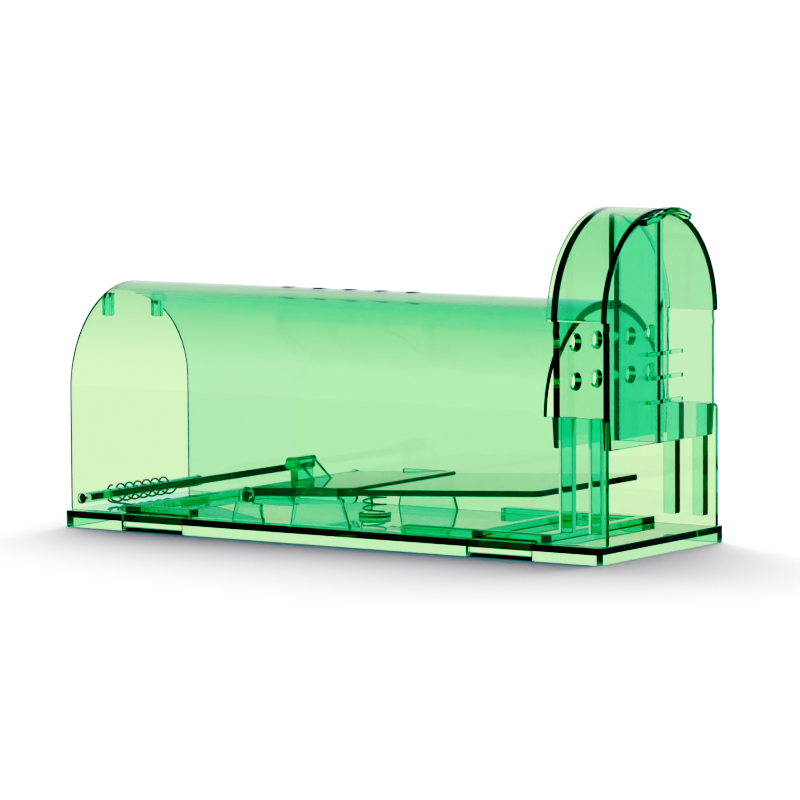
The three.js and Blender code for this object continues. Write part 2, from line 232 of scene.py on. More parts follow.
class Solid:
    """A closed body in millimetres, built from extrusions and joined or cut by booleans."""

    def __init__(self, mesh: bpy.types.Mesh) -> None:
        """Take over a mesh whose units are millimetres."""
        self.mesh = mesh

    @classmethod
    def extrude(cls, outline: Sequence[Point], axis: Axis, start: float, end: float,
                rim: float = 0.2, segments: int = 2) -> "Solid":
        """Extrude an outline and round its sharp edges.

        Args:
            outline: Corners in the two axes that axis names.
            axis: The direction of extrusion.
            start: Where the extrusion starts.
            end: Where it ends.
            rim: The round on sharp edges; 0 leaves them sharp.
            segments: Facets across each round.

        Returns:
            The solid.
        """
        first, second, along = axis.value
        bm = bmesh.new()
        rings = []
        for place in (start, end):
            ring = []
            for a, b in outline:
                co = [0.0, 0.0, 0.0]
                co[first], co[second], co[along] = a, b, place
                ring.append(bm.verts.new(co))
            rings.append(ring)
        low, high = rings
        count = len(outline)
        bm.faces.new(low[::-1])
        bm.faces.new(high)
        for index in range(count):
            after = (index + 1) % count
            bm.faces.new((low[index], low[after], high[after], high[index]))
        bmesh.ops.recalc_face_normals(bm, faces=bm.faces)
        if rim > 0:
            sharp = [edge for edge in bm.edges if edge.calc_face_angle(0) > math.radians(SHARP)]
            bmesh.ops.bevel(bm, geom=sharp, offset=rim, segments=segments, profile=0.5,
                            affect="EDGES", clamp_overlap=True)
            bmesh.ops.recalc_face_normals(bm, faces=bm.faces)
        return cls(cls._mesh(bm))

    @classmethod
    def block(cls, x: Point, y: Point, z: Point, rim: float = 0.2) -> "Solid":
        """Return a rounded box between three pairs of limits."""
        return cls.extrude(rectangle(*x, *y), Axis.Z, *z, rim=rim)

    @classmethod
    def rod(cls, centre: Point, radius: float, axis: Axis, start: float, end: float,
            rim: float = 0.2, steps: int = 32) -> "Solid":
        """Return a round rod with rounded ends."""
        outline = arc(centre, radius, 0, 360, steps)[:-1]
        return cls.extrude(outline, axis, start, end, rim=rim, segments=4)

    @staticmethod
    def _mesh(bm: bmesh.types.BMesh) -> bpy.types.Mesh:
        """Turn a bmesh into a mesh and free it."""
        mesh = bpy.data.meshes.new("solid")
        bm.to_mesh(mesh)
        bm.free()
        return mesh

    def _boolean(self, others: Iterable["Solid"], operation: str) -> "Solid":
        """Apply boolean operations one after another."""
        host = new_object("host", self.mesh)
        tools = []
        for other in others:
            tool = new_object("tool", other.mesh)
            modifier = host.modifiers.new("join", "BOOLEAN")
            modifier.operation = operation
            modifier.solver = "MANIFOLD"
            modifier.object = tool
            tools.append(tool)
        bpy.context.view_layer.update()
        graph = bpy.context.evaluated_depsgraph_get()
        result = bpy.data.meshes.new_from_object(host.evaluated_get(graph))
        for used in (host, *tools):
            bpy.data.objects.remove(used)
        self.mesh = result
        return self

    def join(self, *others: "Solid") -> "Solid":
        """Join other solids to this one."""
        return self._boolean(others, "UNION")

    def cut(self, *others: "Solid") -> "Solid":
        """Cut other solids from this one."""
        return self._boolean(others, "DIFFERENCE")

    def placed(self, matrix: Matrix) -> "Solid":
        """Move this solid by a matrix whose units are millimetres."""
        self.mesh.transform(matrix)
        return self

    def piece(self, name: str, material: bpy.types.Material) -> bpy.types.Object:
        """Finish the solid as a visible piece in metres.

        Args:
            name: The piece's name.
            material: Its finish.

        Returns:
            The object, at the origin.
        """
        bm = bmesh.new()
        bm.from_mesh(self.mesh)
        bmesh.ops.remove_doubles(bm, verts=bm.verts, dist=WELD)
        bmesh.ops.dissolve_degenerate(bm, edges=bm.edges, dist=WELD)
        bm.to_mesh(self.mesh)
        bm.free()
        self.mesh.transform(Matrix.Scale(MM, 4))
        self.mesh.name = name
        for polygon in self.mesh.polygons:
            polygon.use_smooth = True
        self.mesh.set_sharp_from_angle(angle=math.radians(SHARP))
        self.mesh.materials.clear()
        self.mesh.materials.append(material)
        made = new_object(name, self.mesh)
        weighted = made.modifiers.new("flat_faces_stay_flat", "WEIGHTED_NORMAL")
        weighted.keep_sharp = True
        weighted.mode = "FACE_AREA"
        return made


def dress(piece: bpy.types.Object, body: Body, slot: Slot, nodes: Sequence[str]) -> None:
    """Tell the frame what a piece rides on and what it stands for.

    Args:
        piece: The finished piece.
        body: The body it moves with.
        slot: Its material slot; not used.
        nodes: The CAD nodes it stands for.
    """
    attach(piece, body.value)
    if nodes:
        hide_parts(*nodes)
    faces = len(piece.data.polygons)
    LOG.info("%s on %s: %d faces, stands for %d nodes", piece.name, body.value, faces, len(nodes))


def sides(stem: str) -> list[str]:
    """Return a node name's near and far versions."""
    return [f"{stem}_near", f"{stem}_far"]


# ---- nodes


def add_node(tree: bpy.types.NodeTree, kind: str, settings: dict[str, str] | None = None,
             **inputs: Any) -> bpy.types.Node:
    """Add a node and set or link its inputs.

    Args:
        tree: The tree it goes in.
        kind: The node's type.
        settings: The node's own settings, such as its operation.
        **inputs: Input names, with spaces as underscores, to a value or a socket.

    Returns:
        The node.
    """
    node = tree.nodes.new(kind)
    for name, value in (settings or {}).items():
        setattr(node, name, value)
    for name, value in inputs.items():
        socket = node.inputs[name.replace("_", " ")]
        if isinstance(value, bpy.types.NodeSocket):
            tree.links.new(value, socket)
        else:
            socket.default_value = value
    return node


def maths(tree: bpy.types.NodeTree, kind: str, first: Any, second: Any = 0.0) -> bpy.types.NodeSocket:
    """Add one sum of two numbers or sockets to a tree and return its result."""
    node = add_node(tree, "ShaderNodeMath", {"operation": kind})
    for socket, value in zip(node.inputs, (first, second)):
        if isinstance(value, bpy.types.NodeSocket):
            tree.links.new(value, socket)
        else:
            socket.default_value = value
    return node.outputs["Value"]


def mix_colours(tree: bpy.types.NodeTree, factor: bpy.types.NodeSocket, first: Sequence[float],
                second: Sequence[float]) -> bpy.types.NodeSocket:
    """Add a mix of two colours to a tree and return its result."""
    node = add_node(tree, "ShaderNodeMix", {"data_type": "RGBA"}, Factor=factor, A=(*first, 1.0),
                    B=(*second, 1.0))
    return node.outputs["Result"]


def new_material(name: str) -> tuple[bpy.types.Material, bpy.types.NodeTree, bpy.types.Node]:
    """Return a new material with its tree and its Principled shader."""
    material = bpy.data.materials.new(name)
    material.use_nodes = True
    return material, material.node_tree, material.node_tree.nodes["Principled BSDF"]


class NodeShape:
    """A geometry node tree with named inputs, run once and turned into a plain mesh."""

    def __init__(self, name: str) -> None:
        """Start an empty tree."""
        self.tree = bpy.data.node_groups.new(name, "GeometryNodeTree")
        self.tree.interface.new_socket("Geometry", in_out="OUTPUT", socket_type="NodeSocketGeometry")
        self.nodes = self.tree.nodes
        self.links = self.tree.links
        self.entry = self.nodes.new("NodeGroupInput")
        self.exit = self.nodes.new("NodeGroupOutput")
        self.values: dict[str, Any] = {}

    def number(self, name: str, value: float | int | Vector) -> bpy.types.NodeSocket:
        """Add a named input and return its socket inside the tree.

        Args:
            name: The input's name.
            value: The value this object gives it.

        Returns:
            The socket to link from.
        """
        kinds = {int: "NodeSocketInt", float: "NodeSocketFloat", Vector: "NodeSocketVector"}
        socket = self.tree.interface.new_socket(name, in_out="INPUT", socket_type=kinds[type(value)])
        self.values[socket.identifier] = value
        return self.entry.outputs[name]

    def add(self, kind: str, **inputs: Any) -> bpy.types.Node:
        """Add a node to this tree."""
        return add_node(self.tree, kind, **inputs)

    def mesh(self, geometry: bpy.types.NodeSocket, material: bpy.types.Material | None) -> bpy.types.Mesh:
        """End the tree, run it and return the plain mesh.

        Args:
            geometry: The socket that carries the shape.
            material: The finish it takes, or none for a cutting tool.

        Returns:
            A mesh in the tree's own units.
        """
        real = self.add("GeometryNodeRealizeInstances", Geometry=geometry)
        finish = self.add("GeometryNodeSetMaterial", Geometry=real.outputs["Geometry"])
        finish.inputs["Material"].default_value = material
        self.links.new(finish.outputs["Geometry"], self.exit.inputs["Geometry"])
        host = new_object("host", bpy.data.meshes.new("host"))
        modifier = host.modifiers.new("shape", "NODES")
        modifier.node_group = self.tree
        for identifier, value in self.values.items():
            modifier[identifier] = value[:] if isinstance(value, Vector) else value
        bpy.context.view_layer.update()
        graph = bpy.context.evaluated_depsgraph_get()
        result = bpy.data.meshes.new_from_object(host.evaluated_get(graph))
        host.modifiers.clear()
        bpy.data.objects.remove(host)
        return result


def row(name: str, start: Vector, pitch: Vector, count: int, kind: str, turn: Vector,
        **sizes: float | Vector) -> Solid:
    """Return a row of equal shapes, such as drills or grip ribs.

    Args:
        name: The tree's name.
        start: The first shape's centre.
        pitch: The step from one to the next.
        count: How many.
        kind: The node that makes one.
        turn: Euler angles that point each one.
        **sizes: The shape's own sizes, by input name.

    Returns:
        The shapes as one solid.
    """
    shape = NodeShape(name)
    line = shape.add("GeometryNodeMeshLine", Count=shape.number("Count", count),
                     Start_Location=shape.number("Start", start), Offset=shape.number("Pitch", pitch))
    fixed = {"Vertices": 32} if kind == "GeometryNodeMeshCylinder" else {}
    one = shape.add(kind, **fixed, **{size: shape.number(size, value) for size, value in sizes.items()})
    copies = shape.add("GeometryNodeInstanceOnPoints", Points=line.outputs["Mesh"],
                       Instance=one.outputs["Mesh"], Rotation=shape.number("Turn", turn))
    return Solid(shape.mesh(copies.outputs["Instances"], None))


@dataclass
class Coil:
    """A wire spring: a helix of round wire with flat-lying ends, made by geometry nodes."""

    name: str
    radius: float
    wire: float
    turns: float
    height: float
    steps: int = 32

    def mesh(self, material: bpy.types.Material) -> bpy.types.Mesh:
        """Return the coil standing on the origin, in millimetres.

        Args:
            material: The wire's finish.

        Returns:
            The coil's mesh.
        """
        shape = NodeShape(self.name)
        spiral = shape.add("GeometryNodeCurveSpiral", Resolution=self.steps,
                           Rotations=shape.number("Turns", self.turns),
                           Start_Radius=shape.number("Radius", self.radius),
                           Height=shape.number("Height", self.height))
        shape.links.new(shape.entry.outputs["Radius"], spiral.inputs["End Radius"])
        section = shape.add("GeometryNodeCurvePrimitiveCircle", Resolution=12,
                            Radius=shape.number("Wire", self.wire))
        tube = shape.add("GeometryNodeCurveToMesh", Curve=spiral.outputs["Curve"],
                         Profile_Curve=section.outputs["Curve"], Fill_Caps=True)
        return shape.mesh(tube.outputs["Mesh"], material)


def wire_along(name: str, points: Sequence[Vector], wire: float) -> bpy.types.Mesh:
    """Return a round wire along a smooth path, in millimetres.

    Args:
        name: The mesh's name.
        points: The path.
        wire: The wire's radius.

    Returns:
        The wire's mesh.
    """
    curve = bpy.data.curves.new(name, "CURVE")
    curve.dimensions = "3D"
    curve.bevel_depth = wire
    curve.bevel_resolution = 4
    curve.use_fill_caps = True
    spline = curve.splines.new("POLY")
    spline.points.add(len(points) - 1)
    for target, point in zip(spline.points, points):
        target.co = (*point, 1.0)
    host = new_object(name, curve)
    bpy.context.view_layer.update()
    graph = bpy.context.evaluated_depsgraph_get()
    mesh = bpy.data.meshes.new_from_object(host.evaluated_get(graph))
    bpy.data.objects.remove(host)
    return mesh


# ---- finishes


class ScuffGroup:
    """A shader group for moulded plastic: faint flow marks in the surface and a little haze."""

    NAME = "moulded_surface"
    SPECK_SCALE = 900.0

    @classmethod
    def build(cls) -> bpy.types.NodeTree:
        """Build the group once and return it."""
        found = bpy.data.node_groups.get(cls.NAME)
        if found:
            return found
        tree = bpy.data.node_groups.new(cls.NAME, "ShaderNodeTree")
        tree.interface.new_socket("Vector", in_out="INPUT", socket_type="NodeSocketVector")
        for name in ("Wave Scale", "Haze", "Haze Spread"):
            tree.interface.new_socket(name, in_out="INPUT", socket_type="NodeSocketFloat")
        for name in ("Roughness", "Height"):
            tree.interface.new_socket(name, in_out="OUTPUT", socket_type="NodeSocketFloat")
        entry = tree.nodes.new("NodeGroupInput").outputs
        leave = tree.nodes.new("NodeGroupOutput").inputs
        wave = add_node(tree, "ShaderNodeTexNoise", Vector=entry["Vector"], Scale=entry["Wave Scale"],
                        Detail=1.0, Roughness=0.4)
        specks = add_node(tree, "ShaderNodeTexNoise", Vector=entry["Vector"], Scale=cls.SPECK_SCALE,
                          Detail=3.0)
        spread = add_node(tree, "ShaderNodeMapRange", Value=specks.outputs["Fac"], From_Min=0.45,
                          From_Max=0.8)
        amount = maths(tree, "MULTIPLY", spread.outputs["Result"], entry["Haze Spread"])
        tree.links.new(maths(tree, "ADD", amount, entry["Haze"]), leave["Roughness"])
        tree.links.new(wave.outputs["Fac"], leave["Height"])
        return tree


@dataclass(frozen=True)
class ClearPlastic:
    """Polished clear green styrene: tinted through its thickness, so plate edges go nearly black; the
    studio's painted shade darkens them further.
    """

    name: str = "clear_green"
    ior: float = 1.57
    absorb_colour: tuple[float, float, float] = (0.0, 0.81, 0.5)
    density: float = 258.0
    wave_scale: float = 55.0
    wave_height: float = 0.00003
    haze: float = 0.0
    haze_spread: float = 0.05

    def build(self) -> bpy.types.Material:
        """Return the finish."""
        material, tree, shader = new_material(self.name)
        shader.inputs["Base Color"].default_value = (1.0, 1.0, 1.0, 1.0)
        shader.inputs["Transmission Weight"].default_value = 1.0
        shader.inputs["IOR"].default_value = self.ior
        place = add_node(tree, "ShaderNodeTexCoord").outputs["Object"]
        surface = tree.nodes.new("ShaderNodeGroup")
        surface.node_tree = ScuffGroup.build()
        surface.inputs["Wave Scale"].default_value = self.wave_scale
        surface.inputs["Haze"].default_value = self.haze
        surface.inputs["Haze Spread"].default_value = self.haze_spread
        bump = add_node(tree, "ShaderNodeBump", Distance=self.wave_height, Height=surface.outputs["Height"])
        absorb = add_node(tree, "ShaderNodeVolumeAbsorption", Color=(*self.absorb_colour, 1.0),
                          Density=self.density)
        tree.links.new(place, surface.inputs["Vector"])
        tree.links.new(surface.outputs["Roughness"], shader.inputs["Roughness"])
        tree.links.new(bump.outputs["Normal"], shader.inputs["Normal"])
        tree.links.new(absorb.outputs["Volume"], tree.nodes["Material Output"].inputs["Volume"])
        return material


@dataclass(frozen=True)
class SpringWire:
    """Bright drawn steel wire with fine marks along it."""

    name: str = "spring_wire"
    colour: tuple[float, float, float] = (0.2, 0.22, 0.21)
    roughness: float = 0.28
    mark_scale: float = 1500.0

    def build(self) -> bpy.types.Material:
        """Return the finish."""
        material, tree, shader = new_material(self.name)
        shader.inputs["Metallic"].default_value = 1.0
        place = add_node(tree, "ShaderNodeTexCoord").outputs["Object"]
        noise = add_node(tree, "ShaderNodeTexNoise", Vector=place, Scale=self.mark_scale, Detail=4.0)
        marks = noise.outputs["Fac"]
        tone = add_node(tree, "ShaderNodeMapRange", Value=marks, To_Min=self.roughness - 0.1,
                        To_Max=self.roughness + 0.12)
        dull, bright = ([share * part for part in self.colour] for share in (0.7, 1.2))
        tree.links.new(mix_colours(tree, marks, dull, bright), shader.inputs["Base Color"])
        tree.links.new(tone.outputs["Result"], shader.inputs["Roughness"])
        return material


# ---- sub-assemblies


@dataclass
class Tray:
    """The floor tray with all that is moulded on it: skirt, rib frames, spring boss and brackets."""

    plate: float = 2.0
    skirt: float = 2.2
    corner: float = 1.6
    side_rib: float = 4.2
    cross_rib: float = 3.6
    middle_crossing: float = 24.7
    clip_gap: Point = (0.3, 0.2)
    pivot_lean: Point = (1.5, 0.8)
    pivot_shoulder: float = 2.0
    guide_shoulder: Point = (1.5, 16.8)
    guide_tongue: Point = (1.7, 15.4)
    tongue_height: float = 2.8
    rim: float = 0.22
    sink: float = 0.4
    pocket: float = 0.35
    border: float = 0.9
    bore: float = 1.5
    ear: float = 2.3
    box: Box = field(default_factory=lambda: Box.of("base_tray"))

    def outline(self) -> Outline:
        """Return the tray's outline, notched for the four clips."""
        x1, y1 = self.box.x1, self.box.y1
        notches = []
        for place in ("door_end", "cap_end"):
            clip = Box.of(f"snap_clip_{place}_far")
            along, across = self.clip_gap
            notches.append((clip.x0 - along, clip.x1 + along, clip.y0 - across))
        points = [(-x1, -y1)]
        for left, right, depth in notches:
            points += [(left, -y1), (left, -depth), (right, -depth), (right, -y1)]
        points += [(x1, -y1), (x1, y1)]
        for left, right, depth in reversed(notches):
            points += [(right, y1), (right, depth), (left, depth), (left, y1)]
        points.append((-x1, y1))
        half = len(points) // 2
        return rounded(points, {index: self.corner for index in (0, half - 1, half, len(points) - 1)})

    def rib_frame(self, node: str, crossings: Sequence[float]) -> list[Solid]:
        """Return the ribs of one frame.

        Args:
            node: The CAD node that gives the frame's box.
            crossings: The X at which each cross rib starts.

        Returns:
            The ribs, sunk a little into the floor so that they join it.
        """
        box = Box.of(node)
        z = (box.z0 - self.sink, box.z1)
        ribs = [Solid.block((box.x0, box.x1), (box.y0, box.y0 + self.side_rib), z, 0.3),
                Solid.block((box.x0, box.x1), (box.y1 - self.side_rib, box.y1), z, 0.3)]
        for x in crossings:
            ribs.append(Solid.block((x, x + self.cross_rib), (box.y0 + 0.1, box.y1 - 0.1), z, 0.3))
        return ribs

    def bracket(self, node: str, plate: Outline, panel: Outline, hinge: Vector | None = None) -> Solid:
        """Return one bracket with a shallow pocket in its inner face.

        Args:
            node: The CAD node that gives its box.
            plate: The bracket's outline in X and Z.
            panel: The outline that the pocket is drawn from.
            hinge: The axle it carries, or none.

        Returns:
            The bracket.
        """
        box = Box.of(node)
        solid = Solid.extrude(plate, Axis.Y, box.y0, box.y1, rim=0.32)
        inner = (box.y1 - self.pocket, box.y1 + 1) if box.y1 < 0 else (box.y0 - 1, box.y0 + self.pocket)
        tools = [Solid.extrude(shrunk(panel, self.border), Axis.Y, *inner, rim=0)]
        if hinge is not None:
            tools.append(Solid.rod((hinge.x, hinge.z), self.bore, Axis.Y, box.y0 - 1, box.y1 + 1, rim=0))
        return solid.cut(*tools)

    def pivot_bracket(self, node: str) -> Solid:
        """Return a bracket whose round ear carries the treadle's axle."""
        hinge = joint_place("treadle_hinge")
        box = Box.of(node)
        shoulder = hinge.z - self.pivot_shoulder
        left, right = box.x0 + self.pivot_lean[0], box.x1 - self.pivot_lean[1]
        plate = [(box.x0, box.z0 - self.sink), (box.x1, box.z0 - self.sink), (right, shoulder)]
        plate.append((hinge.x + self.ear, shoulder))
        plate += arc((hinge.x, hinge.z), self.ear, 0, 180, 16)
        plate += [(hinge.x - self.ear, shoulder), (left, shoulder)]
        panel = [(box.x0, box.z0), (box.x1, box.z0), (right, shoulder), (left, shoulder)]
        return self.bracket(node, plate, panel, hinge)

    def guide_bracket(self, node: str) -> Solid:
        """Return a bracket with sloping shoulders and a tongue as high as the lever's top."""
        box = Box.of(node)
        shoulder = box.z1 - self.tongue_height
        foot = box.z0 - self.sink
        left, right = (box.x0 + reach for reach in self.guide_shoulder)
        start, end = (box.x0 + reach for reach in self.guide_tongue)
        plate = [(box.x0, foot), (box.x1, foot), (right, shoulder), (end, shoulder), (end, box.z1),
                 (start, box.z1), (left, shoulder)]
        panel = [(box.x0, box.z0), (box.x1, box.z0), (right, shoulder), (left, shoulder)]
        return self.bracket(node, plate, panel)

    def build(self, material: bpy.types.Material) -> None:
        """Build and dress the tray."""
        box = self.box
        tray = Solid.extrude(self.outline(), Axis.Z, box.z0, box.z1, rim=self.rim)
        x, y = box.x1 - self.skirt, box.y1 - self.skirt
        tray.cut(Solid.block((-x, x), (-y, y), (box.z0 - 1, box.z1 - self.plate), 0))
        cap_end = Box.of("floor_rib_frame_cap_end").x1
        door_end = Box.of("floor_rib_frame_door_end").x0
        crossings = (cap_end - self.middle_crossing, cap_end - self.cross_rib)
        parts = self.rib_frame("floor_rib_frame_cap_end", crossings)
        parts += self.rib_frame("floor_rib_frame_door_end", (door_end,))
        boss = Box.of("spring_boss")
        x, y, _ = boss.middle
        parts.append(Solid.rod((x, y), boss.length / 2, Axis.Z, boss.z0 - self.sink, boss.z1, rim=0.35))
        nodes = ["base_tray", "floor_rib_frame_cap_end", "floor_rib_frame_door_end", "spring_boss",
                 *sides("pivot_bracket"), *sides("guide_bracket")]
        parts += [self.pivot_bracket(node) for node in sides("pivot_bracket")]
        parts += [self.guide_bracket(node) for node in sides("guide_bracket")]
        tray.join(*parts)
        dress(tray.piece("tray", material), Body.TRAP, Slot.PLASTIC, nodes)


@dataclass
class Cover:
    """The tunnel cover with its guide rails, door stops, vents, snap clips and bores for the door's axle."""

    wall: float = 1.5
    crown: float = 0.7
    rim: float = 0.4
    bore: float = 1.5
    vents: int = 5
    vent_radius: float = 2.0
    first_vent: float = 53.0
    vent_pitch: float = 10.0
    corner: float = 1.6
    cap_gap: float = 0.6
    clip_plate: float = 2.0
    clip_tongue: float = 1.8
    clip_rise: float = 0.9
    steps: int = 96
    box: Box = field(default_factory=lambda: Box.of("tunnel_cover"))

    @property
    def spring_line(self) -> float:
        """Height at which the straight walls turn into the arch."""
        return self.box.z1 - self.box.y1

    def band(self) -> Outline:
        """Return the wall's section across the tunnel."""
        outer = self.box.y1
        inner = outer - self.wall
        centre = (0.0, self.spring_line)
        points: Outline = [(outer, self.box.z0)]
        points += arc(centre, outer, 0, 180, self.steps)
        points += [(-outer, self.box.z0), (-inner, self.box.z0)]
        for a, b in arc(centre, inner, 180, 0, self.steps):
            points.append((a, b - self.crown * (b - centre[1]) / inner))
        points.append((inner, self.box.z0))
        return points

    def opening(self) -> Solid:
        """Return the block cut away where the cap sits."""
        cut = Box.of("cap_hood").x0 - self.cap_gap
        end = self.box.x1
        line = self.spring_line
        points = [(cut, line), (end - self.corner, line)]
        points += arc((end - self.corner, line - self.corner), self.corner, 90, 0, 8)[1:]
        points += [(end + 5, line - self.corner), (end + 5, line + 40), (cut, line + 40)]
        return Solid.extrude(points, Axis.Y, self.box.y0 - 5, self.box.y1 + 5, rim=0)

    def rails(self) -> list[Solid]:
        """Return the four guide rails, sunk into the walls."""
        rails = []
        for place in ("inner", "outer"):
            for side, sign in (("near", -1), ("far", 1)):
                rail = Box.of(f"guide_rail_{place}_{side}")
                inside = min(abs(rail.y0), abs(rail.y1))
                outside = max(abs(rail.y0), abs(rail.y1)) + 0.5
                y = sorted((sign * inside, sign * outside))
                rails.append(Solid.block((rail.x0, rail.x1), (y[0], y[1]), (rail.z0, rail.z1), 0.35))
        return rails

    def stops(self) -> list[Solid]:
        """Return the two tabs under the roof that the shut door rests on."""
        stops = []
        for side in ("near", "far"):
            stop = Box.of(f"door_stop_{side}")
            stops.append(Solid.block((stop.x0, stop.x1), (stop.y0, stop.y1), (stop.z0, stop.z1 + 0.8), 0.35))
        return stops

    def clips(self) -> list[Solid]:
        """Return the four snap clips."""
        clips = []
        for place in ("door_end", "cap_end"):
            for side, sign in (("near", -1), ("far", 1)):
                clip = Box.of(f"snap_clip_{place}_{side}")
                inside = min(abs(clip.y0), abs(clip.y1)) + 0.1
                face = max(abs(clip.y0), abs(clip.y1))
                under = clip.z1 - self.clip_plate
                tongue = face - self.clip_tongue
                top = clip.z1 + self.clip_rise
                points: Outline = [(inside, under), (tongue, under), (tongue, clip.z0), (face, clip.z0),
                                   (face, clip.z1), (self.box.y1 + 0.6, clip.z1), (self.box.y1 - 0.3, top),
                                   (inside, top)]
                points = rounded(points, {2: 0.4, 3: 0.5})
                if sign < 0:
                    points = mirrored(points)
                clips.append(Solid.extrude(points, Axis.X, clip.x0, clip.x1, rim=0.2))
        return clips

    def build(self, material: bpy.types.Material) -> None:
        """Build and dress the cover."""
        box = self.box
        cover = Solid.extrude(self.band(), Axis.X, box.x0, box.x1, rim=self.rim, segments=3)
        start = Vector((box.x0 + self.first_vent, 0.0, box.z1))
        drill = row("vent_drills", start, Vector((self.vent_pitch, 0.0, 0.0)), self.vents,
                    "GeometryNodeMeshCylinder", Vector(), Radius=self.vent_radius, Depth=12.0)
        hinge = joint_place("door_hinge")
        bores = Solid.rod((hinge.x, hinge.z), self.bore, Axis.Y, box.y0 - 1, box.y1 + 1, rim=0)
        cover.cut(self.opening(), drill, bores)
        cover.join(*self.rails(), *self.stops(), *self.clips())
        nodes = ["tunnel_cover", *sides("guide_rail_inner"), *sides("guide_rail_outer"), *sides("door_stop"),
                 *sides("snap_clip_door_end"), *sides("snap_clip_cap_end")]
        dress(cover.piece("cover", material), Body.TRAP, Slot.PLASTIC, nodes)


@dataclass
class Cap:
    """The bait cap: hood, pierced panel, end panel, web, finger lip and grip ribs in one moulding."""

    wall: float = 1.5
    rim: float = 0.55
    fillet: float = 1.5
    hole_radius: float = 2.35
    hole_pitch: float = 10.2
    hole_starts: tuple[float, float] = (-17.9, 7.7)
    hole_heights: tuple[float, float] = (16.8, 26.8)
    wave: tuple[float, ...] = (0.2, -0.3, -0.9, -0.6, 0.2, 0.5, 0.7, 0.8, 0.8)
    steps: int = 72
    catch: float = 0.25
    catch_heights: tuple[float, ...] = (3.8, 3.2, 2.4, 1.8)
    foot_taper: Point = (0.8, 8.5)
    side_gap: float = 0.3
    crown_gap: float = 0.7
    lip_plate: float = 1.8
    lip_steps: int = 32
    hood: Box = field(default_factory=lambda: Box.of("cap_hood"))
    pierced: Box = field(default_factory=lambda: Box.of("cap_pierced_panel"))
    outer: Box = field(default_factory=lambda: Box.of("cap_outer_panel"))

    def hood_band(self) -> Outline:
        """Return the hood's section."""
        centre = (0.0, self.hood.z0)
        points = arc(centre, self.hood.y1, 0, 180, self.steps)
        return points + arc(centre, self.hood.y1 - self.wall, 180, 0, self.steps)

    def panel(self) -> Outline:
        """Return a panel's outline: a round crown, straight sides with a catch bump, a narrowing foot."""
        line = self.hood.z0
        half = self.hood.y1 - self.wall - self.side_gap
        foot = self.pierced.z0
        reaches = (half, half + self.catch, half + self.catch, half)
        side: Outline = [(half - self.foot_taper[0], foot), (half, foot + self.foot_taper[1])]
        side += [(reach, line - drop) for reach, drop in zip(reaches, self.catch_heights)]
        crown = arc((0.0, line), self.hood.y1 - self.crown_gap, 0, 180, self.steps)
        return side + [(half, line)] + crown + [(-half, line)] + [(-a, b) for a, b in reversed(side)]

    def lip(self) -> Solid:
        """Return the finger lip, a thick wavy edge over the end panel."""
        box = Box.of("cap_finger_lip")
        span = math.degrees(math.asin(box.y1 / self.hood.y1))
        bays = len(self.wave) - 1
        top: Outline = []
        under: Outline = []
        for index in range(self.lip_steps + 1):
            place = index / self.lip_steps
            knot = min(int(place * bays), bays - 1)
            part = place * bays - knot
            part = part * part * (3 - 2 * part)
            rise = self.wave[knot] * (1 - part) + self.wave[knot + 1] * part
            angle = math.radians(90 + span - 2 * span * place)
            outer = self.hood.y1 - 0.1
            for points, radius in ((top, outer), (under, outer - self.lip_plate)):
                points.append((radius * math.cos(angle), self.hood.z0 + radius * math.sin(angle) + rise))
        return Solid.extrude(under + top[::-1], Axis.X, box.x0 - 1.0, box.x1, rim=0.75, segments=4)

    def holes(self) -> list[Solid]:
        """Return the drills for the bait holes, a pair for each side and height."""
        drills = []
        foot = self.pierced.z0 - self.side_gap
        pitch, turn = Vector((0.0, self.hole_pitch, 0.0)), Vector((0.0, math.pi / 2, 0.0))
        for tier, height in enumerate(self.hole_heights):
            for pair, y in enumerate(self.hole_starts):
                start = Vector((self.pierced.middle[0], y, foot + height))
                name = f"bait_drills_{tier}_{pair}"
                drills.append(row(name, start, pitch, 2, "GeometryNodeMeshCylinder", turn,
                                  Radius=self.hole_radius, Depth=6.0))
        return drills

    def middle_web(self) -> list[Solid]:
        """Return the web between the panels and the round fillets down its two edges."""
        box = Box.of("cap_web")
        z = (box.z0, box.z1 + 0.6)
        parts = [Solid.block((self.pierced.x1 - 0.6, self.outer.x0 + 0.6), (box.y0, box.y1), z, 0.15)]
        for x in (self.pierced.x1 - 0.1, self.outer.x0 + 0.1):
            parts.append(Solid.rod((x, 0.0), self.fillet, Axis.Z, z[0] + 0.1, z[1] - 1.0, rim=0.15, steps=20))
        return parts

    def grip(self) -> Solid:
        """Return the grip ribs on the end panel."""
        first = Box.of("grip_rib_1")
        second = Box.of("grip_rib_2")
        size = Vector((first.length + 0.6, first.y1 - first.y0, first.height))
        start = Vector(first.middle) - Vector((0.3, 0.0, 0.0))
        pitch = Vector((0.0, 0.0, second.z0 - first.z0))
        return row("grip_ribs", start, pitch, 3, "GeometryNodeMeshCube", Vector(), Size=size)

    def build(self, material: bpy.types.Material) -> None:
        """Build and dress the cap."""
        hood = Solid.extrude(self.hood_band(), Axis.X, self.hood.x0, self.hood.x1, rim=self.rim, segments=4)
        inner = Solid.extrude(self.panel(), Axis.X, self.pierced.x0, self.pierced.x1, rim=0.22)
        inner.cut(*self.holes())
        end = Solid.extrude(self.panel(), Axis.X, self.outer.x0, self.outer.x1 - 0.05, rim=0.22)
        hood.join(inner, end, *self.middle_web(), self.lip(), self.grip())
        nodes = ["cap_hood", "cap_pierced_panel", "cap_outer_panel", "cap_web", "cap_finger_lip",
                 "grip_rib_1", "grip_rib_2", "grip_rib_3"]
        dress(hood.piece("bait_cap", material), Body.CAP, Slot.PLASTIC, nodes)


